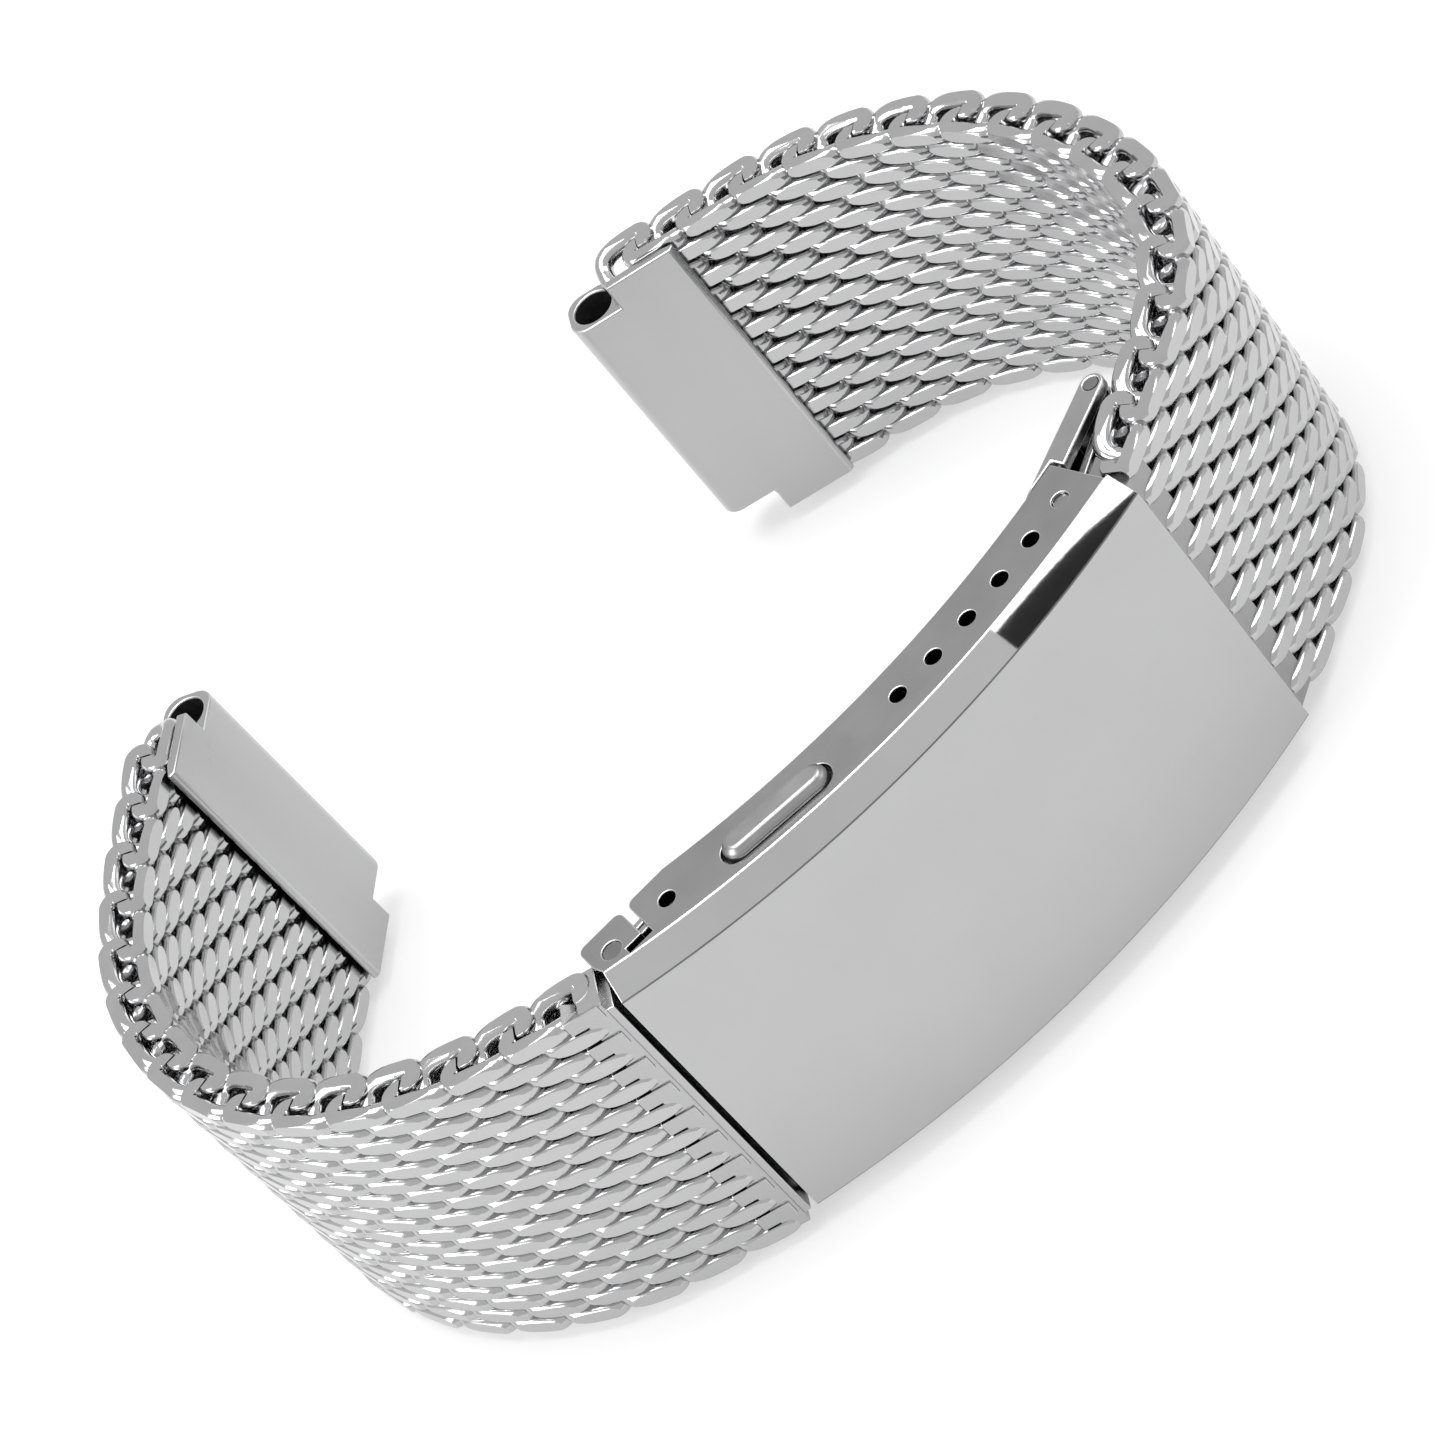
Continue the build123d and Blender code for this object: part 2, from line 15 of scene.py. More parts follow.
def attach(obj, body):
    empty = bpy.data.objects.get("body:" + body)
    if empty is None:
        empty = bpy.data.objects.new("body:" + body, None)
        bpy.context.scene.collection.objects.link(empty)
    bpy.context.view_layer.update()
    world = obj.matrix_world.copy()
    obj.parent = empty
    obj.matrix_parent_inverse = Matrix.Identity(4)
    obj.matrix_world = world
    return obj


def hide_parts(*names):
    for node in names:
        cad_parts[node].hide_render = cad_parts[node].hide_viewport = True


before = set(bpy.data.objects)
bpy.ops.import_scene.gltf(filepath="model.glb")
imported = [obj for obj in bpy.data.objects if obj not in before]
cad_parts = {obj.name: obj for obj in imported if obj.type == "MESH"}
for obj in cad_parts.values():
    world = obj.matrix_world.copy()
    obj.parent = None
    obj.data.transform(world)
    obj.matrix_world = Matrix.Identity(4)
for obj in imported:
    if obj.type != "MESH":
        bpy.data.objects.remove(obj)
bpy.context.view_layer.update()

MM = 0.001

# %% [markdown]
# ## The camera
# The photograph looks down on the bracelet from outside its clasp, turned so that the
# clasp runs up to the right. A long lens keeps the near and far edges almost parallel.
# The lens and the place were worked out from pairs of points of known height on the mesh.
# Two directions fix how the camera is turned: what is right and what is up in the picture.

# %% Camera
lens_length, sensor_width = 131.47, 36.0  # in millimetres, as a camera's maker gives them
camera_spot = Vector((-0.018666, -0.233004, 0.201449))
picture_right = Vector((0.71021, -0.47638, -0.51833))
picture_up = Vector((0.70153, 0.41737, 0.57763))

camera_data = bpy.data.cameras.new("camera")
camera_data.lens = lens_length
camera_data.sensor_width = sensor_width
camera_data.clip_start = 0.01
camera = bpy.data.objects.new("camera", camera_data)
bpy.context.collection.objects.link(camera)
backward = picture_right.cross(picture_up).normalized()
upward = backward.cross(picture_right).normalized()
camera_turn = Matrix((picture_right.normalized(), upward, backward)).transposed()
camera.matrix_world = Matrix.Translation(camera_spot) @ camera_turn.to_4x4()
bpy.context.scene.camera = camera
print("camera looks along", (-backward)[:])

# %% [markdown]
# ## Helpers for nodes
# The finishes and the wire are both made of nodes. One helper places a node and sets its
# sockets by name, and one makes a group: a small effect with named sockets that several
# trees can share. A formula needs a long chain of Math nodes. A small class lets it be
# written as a plain sum, and each step of the sum adds its own Math node.

# %% Place a node, make a group
def add_node(tree, kind, settings=None, **values):
    node = tree.nodes.new(kind)
    for key, value in (settings or {}).items():
        setattr(node, key, value)
    for key, value in values.items():
        node.inputs[key.replace("_", " ")].default_value = value
    return node


def new_group(name, kind, inputs, outputs):
    group = bpy.data.node_groups.new(name, kind)
    for label, socket, value in inputs:
        made = group.interface.new_socket(label, in_out="INPUT", socket_type=socket)
        if value is not None:
            made.default_value = value
    for label, socket in outputs:
        group.interface.new_socket(label, in_out="OUTPUT", socket_type=socket)
    return group, group.nodes.new("NodeGroupInput"), group.nodes.new("NodeGroupOutput")


print("helpers", add_node.__name__, new_group.__name__)

# %% Formulas made of Math nodes
class Value:
    """The output of a node, which can be reckoned with."""

    def __init__(self, tree, socket):
        self.tree = tree
        self.socket = socket

    def into(self, target):
        self.tree.links.new(self.socket, target)

    def __add__(self, other):
        return math_node("ADD", self, other)

    def __sub__(self, other):
        return math_node("SUBTRACT", self, other)

    def __rsub__(self, other):
        return math_node("SUBTRACT", other, self)

    def __mul__(self, other):
        return math_node("MULTIPLY", self, other)

    def __truediv__(self, other):
        return math_node("DIVIDE", self, other)


def math_node(operation, *values):
    """One Math node, fed with numbers and with the values of other nodes."""
    tree = next(value.tree for value in values if isinstance(value, Value))
    node = add_node(tree, "ShaderNodeMath", {"operation": operation})
    for slot, value in enumerate(values):
        if isinstance(value, Value):
            value.into(node.inputs[slot])
        else:
            node.inputs[slot].default_value = value
    return Value(tree, node.outputs[0])


print("helpers", Value.__name__, math_node.__name__)

# %% [markdown]
# ## Brushed lines
# A brushed face carries long fine parallel lines. Noise that is stretched far along one
# direction gives them: the coordinates are scaled much less along the brushing.

# %% Brushed lines group
VECTOR, FLOAT, INT = "NodeSocketVector", "NodeSocketFloat", "NodeSocketInt"
brushed, brushed_in, brushed_out = new_group(
    "brushed_lines",
    "ShaderNodeTree",
    [("Vector", VECTOR, None), ("Fineness", FLOAT, 9000.0), ("Stretch", FLOAT, 0.02)],
    [("Height", FLOAT), ("Shade", FLOAT)],
)
squeeze = add_node(brushed, "ShaderNodeCombineXYZ", X=1.0, Y=1.0)
brushed.links.new(brushed_in.outputs["Stretch"], squeeze.inputs["Z"])
stretched = add_node(brushed, "ShaderNodeVectorMath", {"operation": "MULTIPLY"})
brushed.links.new(brushed_in.outputs["Vector"], stretched.inputs[0])
brushed.links.new(squeeze.outputs[0], stretched.inputs[1])
lines = add_node(brushed, "ShaderNodeTexNoise", Detail=4.0, Roughness=0.6)
brushed.links.new(stretched.outputs[0], lines.inputs["Vector"])
brushed.links.new(brushed_in.outputs["Fineness"], lines.inputs["Scale"])
broad = add_node(brushed, "ShaderNodeTexNoise", Scale=260.0, Detail=3.0)
brushed.links.new(stretched.outputs[0], broad.inputs["Vector"])
brushed.links.new(lines.outputs["Fac"], brushed_out.inputs["Height"])
brushed.links.new(broad.outputs["Fac"], brushed_out.inputs["Shade"])
print("group", brushed.name)

# %% [markdown]
# ## Handling marks
# Polished steel is never a perfect mirror: faint smudges make it a little duller in
# patches, and hair lines cross it. Two noises of different size give both.

# %% Handling marks group
marks, marks_in, marks_out = new_group(
    "handling_marks",
    "ShaderNodeTree",
    [
        ("Vector", VECTOR, None),
        ("Low", FLOAT, 0.08),
        ("High", FLOAT, 0.16),
        ("Patch Scale", FLOAT, 220.0),
    ],
    [("Roughness", FLOAT), ("Tone", FLOAT), ("Height", FLOAT)],
)
patches = add_node(marks, "ShaderNodeTexNoise", Detail=5.0, Roughness=0.55)
marks.links.new(marks_in.outputs["Vector"], patches.inputs["Vector"])
marks.links.new(marks_in.outputs["Patch Scale"], patches.inputs["Scale"])
ranged = add_node(marks, "ShaderNodeMapRange", {"clamp": True}, From_Min=0.3, From_Max=0.7)
marks.links.new(patches.outputs["Fac"], ranged.inputs["Value"])
marks.links.new(marks_in.outputs["Low"], ranged.inputs["To Min"])
marks.links.new(marks_in.outputs["High"], ranged.inputs["To Max"])
hair = add_node(marks, "ShaderNodeTexNoise", Scale=5200.0, Detail=2.0)
marks.links.new(marks_in.outputs["Vector"], hair.inputs["Vector"])
marks.links.new(ranged.outputs["Result"], marks_out.inputs["Roughness"])
marks.links.new(patches.outputs["Fac"], marks_out.inputs["Tone"])
marks.links.new(hair.outputs["Fac"], marks_out.inputs["Height"])
print("group", marks.name)

# %% [markdown]
# ## Finishes
# All the steel is one metal. What differs is how it was worked: polished by a wheel,
# brushed across the band, or drawn as wire. A few greys stand in for light instead: the
# edge rounds are lighter, a painted highlight, the rounds between the cover's top and its
# bevels are dark, a painted shade, and the satin walls are darker, partly painted shade.
# Each finish mixes two close greys by the group's mask and takes its roughness and bump
# from the groups. A table holds the numbers of every finish, so that they can be compared
# at a glance.

# %% Steel finishes
LINE_DEPTH = 0.02 * MM
LINE_STRETCH = 0.03
BLUE_SHARE = 1.01  # steel is a very little bluer than a plain grey
MIX_FACTOR, MIX_FIRST, MIX_SECOND, MIX_RESULT = 0, 6, 7, 2  # sockets of a colour Mix node


def steel(name, greys, roughness, patch_scale, bump, fineness=None):
    """A steel with handling marks. One with a fineness is brushed as well."""
    material = bpy.data.materials.new(name)
    material.use_nodes = True
    tree = material.node_tree
    shader = tree.nodes["Principled BSDF"]
    shader.inputs["Metallic"].default_value = 1.0
    place = add_node(tree, "ShaderNodeTexCoord").outputs["Object"]
    wear = add_node(tree, "ShaderNodeGroup", {"node_tree": marks}, Patch_Scale=patch_scale)
    wear.inputs["Low"].default_value, wear.inputs["High"].default_value = roughness
    tree.links.new(place, wear.inputs["Vector"])
    mask, height = wear.outputs["Tone"], wear.outputs["Height"]
    if fineness:
        brushing = add_node(tree, "ShaderNodeGroup", {"node_tree": brushed}, Fineness=fineness)
        brushing.inputs["Stretch"].default_value = LINE_STRETCH
        tree.links.new(place, brushing.inputs["Vector"])
        mask, height = brushing.outputs["Shade"], brushing.outputs["Height"]
    tone = add_node(tree, "ShaderNodeMix", {"data_type": "RGBA"})
    for slot, grey in zip((MIX_FIRST, MIX_SECOND), greys):
        tone.inputs[slot].default_value = (grey, grey, grey * BLUE_SHARE, 1.0)
    tree.links.new(mask, tone.inputs[MIX_FACTOR])
    tree.links.new(tone.outputs[MIX_RESULT], shader.inputs["Base Color"])
    tree.links.new(wear.outputs["Roughness"], shader.inputs["Roughness"])
    relief = add_node(tree, "ShaderNodeBump", Strength=bump, Distance=LINE_DEPTH)
    tree.links.new(height, relief.inputs["Height"])
    tree.links.new(relief.outputs["Normal"], shader.inputs["Normal"])
    return material


# the two greys, the least and most roughness, the scale of the patches, the strength of the
# bump, and the fineness of the lines on what is brushed
finish_table = {
    "drawn_wire": ((0.46, 0.52), (0.12, 0.2), 420.0, 0.12),
    "polished_cover": ((0.43, 0.47), (0.09, 0.15), 160.0, 0.05),
    "polished_bevel": ((0.48, 0.62), (0.02, 0.04), 90.0, 0.008),
    # painted highlight: a lighter grey for the edge rounds, standing in for the light they catch
    "edge_painted_highlight": ((0.48, 0.58), (0.3, 0.4), 300.0, 0.03),
    # painted shade: a dark grey for the rounds between the cover's top and its bevels
    "seam_painted_shade": ((0.16, 0.24), (0.2, 0.3), 300.0, 0.03),
    "brushed_plate": ((0.42, 0.46), (0.22, 0.28), 200.0, 0.12, 5000.0),
    # satin walls: real brushing and roughness, with darker greys that are painted shade
    "satin_wall_painted_shade": ((0.26, 0.37), (0.2, 0.3), 60.0, 0.12, 4000.0),
    "satin_blade": ((0.34, 0.42), (0.2, 0.3), 200.0, 0.2, 4000.0),
    "turned_pin": ((0.2, 0.27), (0.2, 0.3), 700.0, 0.2),
    "button_face": ((0.26, 0.34), (0.3, 0.4), 400.0, 0.1),
}
steels = {name: steel(name, *numbers) for name, numbers in finish_table.items()}
print("finishes", list(steels))

# %% [markdown]
# ## The woven wire
# The mesh is 64 flat coils of one thick wire, side by side along the two straps, each
# hooked through its neighbours. One coil is a flattened spring: it runs over the outer
# face, turns down, runs back under the inner face and turns up again, eighteen strands in
# all. Geometry Nodes suit it, because every point of the wire follows from its number
# alone: the number gives a phase, and the phase gives the three coordinates. The outer
# strands are longer than the inner ones, so that the band can curl towards the wrist.
#
# A coil is made in a frame of its own. X runs along the strap, Y stands out of the outer
# face, and Z runs across the strap, from one edge to the other.

# %% Sizes of the weave
band_half = 11.0 * MM
strand_count = 18
strand_width = 1.05 * MM
strand_step = (2 * band_half - strand_width) / (strand_count - 1)
weave = {
    "Strands": strand_count,
    "Outer Reach": 1.86 * MM,
    "Inner Reach": 1.74 * MM,
    "Level": 1.2 * MM,
    "Strand Step": strand_step,
    "Edge": band_half - strand_width / 2,
    "Strand Radius": 0.605 * MM,
    "Turn Radius": 0.55 * MM,
    "Tip Radius": 0.54 * MM,
    "Hook Straight": 1.05 * MM,
    "Hook Radius": 0.54 * MM,
    "Hook Angle": radians(190),
    "Hook Rise": 0.15 * MM,
    "Hook Samples": 18,
    "Squareness": 0.8,
    "Flatness": 0.6,
    "Lean": 0.6,
    "Samples": 16,
    "Sides": 14,
}
print("strand step", round(strand_step / MM, 3), "mm")

# %% [markdown]
# ## The tree of one wire
# The tree starts with a straight line of points and moves each one to its place. The
# points at both ends belong to the hooks, and the ones between them to the strands. A
# count of half turns runs through all of them, from 0 at one tip to 18 at the other.

# %% Points and their turns
wire_tree, wire_in, wire_out = new_group(
    "woven_wire",
    "GeometryNodeTree",
    [(label, INT if isinstance(value, int) else FLOAT, value) for label, value in weave.items()]
    + [("Hand", FLOAT, 1.0), ("Material", "NodeSocketMaterial", None)],
    [("Geometry", "NodeSocketGeometry")],
)
size = {label: Value(wire_tree, wire_in.outputs[label]) for label in weave}
hand = Value(wire_tree, wire_in.outputs["Hand"])

strand_points = (size["Strands"] - 1.0) * size["Samples"]
point_count = strand_points + size["Hook Samples"] * 2.0 + 1.0
line = add_node(wire_tree, "GeometryNodeCurvePrimitiveLine")
resampled = add_node(wire_tree, "GeometryNodeResampleCurve")
wire_tree.links.new(line.outputs[0], resampled.inputs["Curve"])
point_count.into(resampled.inputs["Count"])

number = Value(wire_tree, add_node(wire_tree, "GeometryNodeInputIndex").outputs[0])
past_hook = math_node("MAXIMUM", number - size["Hook Samples"], 0.0)
in_strands = math_node("MINIMUM", past_hook, strand_points)
in_hooks = number - in_strands
turns = in_strands / size["Samples"] + in_hooks / size["Hook Samples"] * 0.5
phase = turns * pi
print("tree", wire_tree.name, "with", len(size), "sizes")

# %% [markdown]
# ## The strands
# Seen along the band's width, the wire goes round a flat oval: a cosine gives its place
# along the strap and a sine its height. Both waves are widened towards a square, because
# the real wire runs straight over a face and turns in a short bend. Meanwhile it moves
# across by one step for each strand, and a second wave makes each strand lean.

# %% Path of the strands
def squared_wave(wave, exponent):
    """A cosine or sine whose tops are widened, so that the coil is flat."""
    power = math_node("POWER", math_node("ABSOLUTE", wave), exponent)
    return math_node("SIGN", wave) * power


cosine = math_node("COSINE", phase)
sine = math_node("SINE", phase)
strand_height = squared_wave(sine, size["Flatness"]) * size["Level"]
outer_share = (strand_height / size["Level"] * hand + 1.0) * 0.5
reach = size["Inner Reach"] + outer_share * (size["Outer Reach"] - size["Inner Reach"])
strand_along = squared_wave(cosine, size["Squareness"]) * reach
lean = math_node("SINE", phase * 2.0) * (size["Lean"] / (2 * pi))
crossing = turns - 0.5 + lean
strand_across = size["Edge"] - crossing * size["Strand Step"]
print("nodes so far", len(wire_tree.nodes))

# %% [markdown]
# ## The hooks at the edges
# At both edges of the band the wire ends in a small curl that grips the next wire. It
# leaves its last strand straight on and then follows a tight circle a little past a half
# turn. The hook's own share, from 0 to 1 at the tip, says how far along it a point is.

# %% Path of the hooks
HOOK_LIMIT = 0.4999  # just under half a turn, so that the hook's first point is a strand's
half_way = size["Strands"] / 2.0
from_middle = turns - half_way
from_tip = half_way - math_node("ABSOLUTE", from_middle)
is_hook = math_node("LESS_THAN", from_tip, HOOK_LIMIT)
hook_share = 1.0 - from_tip * 2.0
hook_length = size["Hook Straight"] + size["Hook Radius"] * size["Hook Angle"]
gone = hook_share * hook_length
straight = math_node("MINIMUM", gone, size["Hook Straight"])
curl = (gone - straight) / size["Hook Radius"]
side = math_node("SIGN", from_middle) * -1.0
drop = (1.0 - math_node("COSINE", curl)) * size["Hook Radius"]
hook_along = straight + math_node("SINE", curl) * size["Hook Radius"]
hook_height = side * (size["Level"] - drop)
hook_across = side * (size["Edge"] + hook_share * size["Hook Rise"])
print("nodes so far", len(wire_tree.nodes))

# %% [markdown]
# ## From points to wire
# Each point takes the hook's place at the tips and the strand's place elsewhere. Every
# second coil is turned the other way, which one number, its hand, does. The wire is thick
# on its strands and thinner where it turns, as drawn wire is once it has been bent, and
# the tips narrow a little. A circle swept along the points makes the wire's skin.

# %% Place the points
def chosen(plain, hooked):
    """The hook's value at the ends of the wire, and the plain one everywhere else."""
    return plain + (hooked - plain) * is_hook


place = add_node(wire_tree, "ShaderNodeCombineXYZ")
(chosen(strand_along, hook_along) * hand).into(place.inputs["X"])
(chosen(strand_height, hook_height) * hand).into(place.inputs["Y"])
chosen(strand_across, hook_across).into(place.inputs["Z"])
moved = add_node(wire_tree, "GeometryNodeSetPosition")
wire_tree.links.new(resampled.outputs[0], moved.inputs["Geometry"])
wire_tree.links.new(place.outputs[0], moved.inputs["Position"])
print("nodes so far", len(wire_tree.nodes))

# %% Thickness and skin
FULL_AT = 0.75  # how high a strand's wave is where the wire gets its full thickness
fullness = math_node("SMOOTH_MIN", math_node("ABSOLUTE", sine), FULL_AT) / FULL_AT
thin = size["Turn Radius"] + fullness * (size["Strand Radius"] - size["Turn Radius"])
narrowing = hook_share * hook_share * (size["Strand Radius"] - size["Tip Radius"])
thickness = chosen(thin, size["Strand Radius"] - narrowing)

upright = add_node(wire_tree, "GeometryNodeSetCurveNormal", {"mode": "Z_UP"})
wire_tree.links.new(moved.outputs[0], upright.inputs["Curve"])
section = add_node(wire_tree, "GeometryNodeCurvePrimitiveCircle", Radius=1.0)
size["Sides"].into(section.inputs["Resolution"])
tube = add_node(wire_tree, "GeometryNodeCurveToMesh", Fill_Caps=True)
wire_tree.links.new(upright.outputs[0], tube.inputs["Curve"])
wire_tree.links.new(section.outputs[0], tube.inputs["Profile Curve"])
thickness.into(tube.inputs["Scale"])
real = add_node(wire_tree, "GeometryNodeRealizeInstances")
wire_tree.links.new(tube.outputs[0], real.inputs["Geometry"])
painted = add_node(wire_tree, "GeometryNodeSetMaterial")
wire_tree.links.new(real.outputs[0], painted.inputs["Geometry"])
wire_tree.links.new(wire_in.outputs["Material"], painted.inputs["Material"])
wire_tree.links.new(painted.outputs[0], wire_out.inputs["Geometry"])
print("tree", wire_tree.name, "with", len(wire_tree.nodes), "nodes")

# %% [markdown]
# ## From the tree to plain meshes
# A modifier's inputs are set by their identifiers. The evaluated result becomes a plain
# mesh. After weaving, the real band is ground flat on both faces and along its edges:
# a plane cuts the wire there, and the cut is closed by one flat face. Two coils are
# enough, one of each hand, because the others are copies of them.

# %% Evaluate a tree
def built(tree, values, name):
    """The mesh that a Geometry Nodes tree makes from the given values."""
    holder = bpy.data.objects.new(name, bpy.data.meshes.new(name))
    bpy.context.collection.objects.link(holder)
    modifier = holder.modifiers.new("nodes", "NODES")
    modifier.node_group = tree
    for item in tree.interface.items_tree:
        if item.item_type == "SOCKET" and item.in_out == "INPUT" and item.name in values:
            modifier[item.identifier] = values[item.name]
    graph = bpy.context.evaluated_depsgraph_get()
    mesh = bpy.data.meshes.new_from_object(holder.evaluated_get(graph))
    bpy.data.objects.remove(holder)
    return mesh


print("helper", built.__name__)

# %% Grind a mesh flat
def ground(mesh, normal, distance):
    """Cut away all that lies past a plane and close each cut with a flat face."""
    form = bmesh.new()
    form.from_mesh(mesh)
    cut = bmesh.ops.bisect_plane(
        form,
        geom=form.verts[:] + form.edges[:] + form.faces[:],
        plane_co=Vector(normal) * distance,
        plane_no=normal,
        clear_outer=True,
    )
    rim = [item for item in cut["geom_cut"] if isinstance(item, bmesh.types.BMEdge)]
    bmesh.ops.holes_fill(form, edges=rim, sides=0)
    for edge in rim:
        if edge.is_valid:
            edge.smooth = False
    form.to_mesh(mesh)
    form.free()


print("helper", ground.__name__)

# %% The coils that the straps repeat
face_level = 1.58 * MM
edge_level = band_half - 0.03 * MM


def woven_coil(name, hand):
    mesh = built(wire_tree, {**weave, "Hand": hand, "Material": steels["drawn_wire"]}, name)
    mesh.shade_smooth()
    for normal, distance in (
        ((0, 1, 0), face_level),
        ((0, -1, 0), face_level),
        ((0, 0, 1), edge_level),
        ((0, 0, -1), edge_level),
    ):
        ground(mesh, normal, distance)
    return mesh


leading_coil = woven_coil("leading_coil", 1.0)
trailing_coil = woven_coil("trailing_coil", -1.0)
# strap A's first coil is cut short towards the clasp, to clear the cover when it swings
first_coil_end = 1.8 * MM
first_coil = leading_coil.copy()
ground(first_coil, (1, 0, 0), first_coil_end)
print("one coil:", len(leading_coil.vertices), "points", len(leading_coil.polygons), "faces")

# %% [markdown]
# ## The route of the two straps
# Each strap leaves the clasp straight and then bends coil by coil round the wrist. The
# same table of turns as in the CAD model gives every coil its place and heading. These
# tables are in millimetres and degrees, in the clasp's own frame.

# %% Route
clasp_middle = (16.558277, 23.855082, 11.95)
bends_a = [(4, 0.0), (4, 6.3), (4, 6.2), (4, 4.0), (4, 4.5), (4, 4.1), (4, 5.7), (4, 0.0)]
bends_b = [(3, 0.0), (4, -4.4), (4, -4.5), (4, -5.3), (4, -4.7), (4, -4.8), (4, -2.9), (4, -0.2)]


def walk(start, heading, bends, pitch):
    """Places one pitch apart, each turned by its bend against the one before."""
    places = [(*start, heading)]
    for count, bend in bends:
        for _ in range(count):
            x, y, before = places[-1]
            middle = radians(before + bend / 2)
            places.append((x + pitch * cos(middle), y + pitch * sin(middle), before + bend))
    return places


walk_a = walk(start=(39.25, 3.22), heading=35.0, bends=bends_a, pitch=1.90)
coils_a = [(x, y, heading + 180) for x, y, heading in walk_a]
coils_b = walk(start=(-0.80, 1.83), heading=157.5, bends=bends_b, pitch=1.82)
print("places", len(coils_a), "and", len(coils_b))

# %% [markdown]
# ## Coils on their bodies
# The mesh bends at every second row of hooks, so two coils move as one body and make one
# piece. A matrix carries a coil to its place, and the moved coils are joined in one mesh,
# which keeps every piece's own origin at the origin of the frame. Strap A has 33 coils.
# Strap B has 31, because its first place is taken by the bar that ends the strap.

# %% Helpers that place, join and show pieces
def coil_place(coil):
    """The matrix that carries a coil from its own frame to its place in the strap."""
    x, y, heading = coil
    spot = Vector((x - clasp_middle[0], y - clasp_middle[1], clasp_middle[2])) * MM
    return Matrix.Translation(spot) @ Matrix.Rotation(radians(heading), 4, "Z")


def joined(parts, name):
    """One mesh of several, each moved by its own matrix."""
    form = bmesh.new()
    for mesh, matrix in parts:
        before = len(form.verts)
        form.from_mesh(mesh)
        form.verts.ensure_lookup_table()
        bmesh.ops.transform(form, matrix=matrix, verts=form.verts[before:])
    mesh = bpy.data.meshes.new(name)
    form.to_mesh(mesh)
    form.free()
    return mesh


def show(mesh, name, body, node):
    """Put a finished mesh in the scene, on its body, in place of its CAD node."""
    piece = bpy.data.objects.new(name, mesh)
    bpy.context.collection.objects.link(piece)
    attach(piece, body)
    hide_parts(node)


print("first coil at", coil_place(coils_a[0]).translation[:])

# %% Strap A and strap B
def weave_piece(coils, numbers, name, body, node):
    parts = []
    for number in numbers:
        coil = leading_coil if number % 2 == 0 else trailing_coil
        coil = first_coil if number == 0 else coil
        parts.append((coil, coil_place(coils[number])))
    mesh = joined(parts, name)
    mesh.materials.append(steels["drawn_wire"])
    show(mesh, name, body, node)


for strap, coils, single, single_body, pair_count in (
    ("a", coils_a, 0, "link", 16),
    ("b", coils_b, 1, "lower_blade", 15),
):
    number = f"{strap}_{single:02d}"
    weave_piece(coils, (single,), f"wire_{number}", single_body, f"coil_{number}")
    for pair in range(1, pair_count + 1):
        number = f"{strap}_{pair:02d}"
        first = single + 2 * pair - 1
        weave_piece(
            coils, (first, first + 1), f"wires_{number}", f"mesh_{number}", f"coil_pair_{number}"
        )
print("woven pieces in place")

# %% [markdown]
# ## Edges that catch the light
# The CAD edges are perfectly sharp, and no worked metal is. Each plate that shows is
# copied, its flat faces are made whole again, and its sharp edges get a narrow round.
# The long edges of the cover then draw the fine bright lines of the photograph. A face
# with many corners is split before that, because one that has a notch in it folds over
# itself when its edges are rounded.

# %% Soften a CAD node
MERGE_DISTANCE = 0.002 * MM
FLAT_LIMIT = radians(0.6)
SMOOTH_LIMIT = radians(32)
MOST_CORNERS = 4


def softened(name, width, segments, finish_of):
    """A copy of a CAD node's mesh whose sharp edges are rounded by a small width."""
    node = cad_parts[name]
    form = bmesh.new()
    form.from_mesh(node.data)
    bmesh.ops.transform(form, matrix=node.matrix_world, verts=form.verts)
    bmesh.ops.remove_doubles(form, verts=form.verts, dist=MERGE_DISTANCE)
    bmesh.ops.dissolve_limit(
        form,
        angle_limit=FLAT_LIMIT,
        verts=form.verts,
        edges=form.edges,
        use_dissolve_boundaries=False,
    )
    notched = [face for face in form.faces if len(face.verts) > MOST_CORNERS]
    bmesh.ops.triangulate(form, faces=notched)
    closed = [edge for edge in form.edges if len(edge.link_faces) == 2]
    made = bmesh.ops.bevel(
        form,
        geom=[edge for edge in closed if edge.calc_face_angle(0) > SMOOTH_LIMIT],
        offset=width,
        offset_type="OFFSET",
        segments=segments,
        profile=0.5,
        affect="EDGES",
        clamp_overlap=False,
    )
    rounds = set(made["faces"])
    for face in form.faces:
        face.smooth = True
        face.material_index = finish_of(face, face in rounds)
    for edge in form.edges:
        kinds = {face in rounds for face in edge.link_faces}
        edge.smooth = len(kinds) == 1 and edge.calc_face_angle(0) < SMOOTH_LIMIT
    bmesh.ops.recalc_face_normals(form, faces=form.faces)
    mesh = bpy.data.meshes.new(name + "_soft")
    form.to_mesh(mesh)
    form.free()
    return mesh


def soften_node(name, body, slot, width, finishes, finish_of, segments=2, extra=None):
    """Show a softened copy of a node, joined with a filler bar where it has one."""
    mesh = softened(name, width, segments, finish_of)
    if extra:
        mesh = joined([(mesh, Matrix()), extra], name + "_soft")
    for finish in finishes:
        mesh.materials.append(steels[finish])
    show(mesh, name + "_soft", body, name)


print("helpers", softened.__name__, soften_node.__name__)

# %% [markdown]
# ## The cover
# The cover is polished on top and on its bevels, and its walls have a satin finish in a
# darker grey, which is partly painted shade. Its edge rounds are the brightest, a painted
# highlight, but for the dark line between the top and a bevel, which is painted shade. How
# far a face is tilted towards the strap's edges tells which of these it is, so no face has
# to be picked by hand.

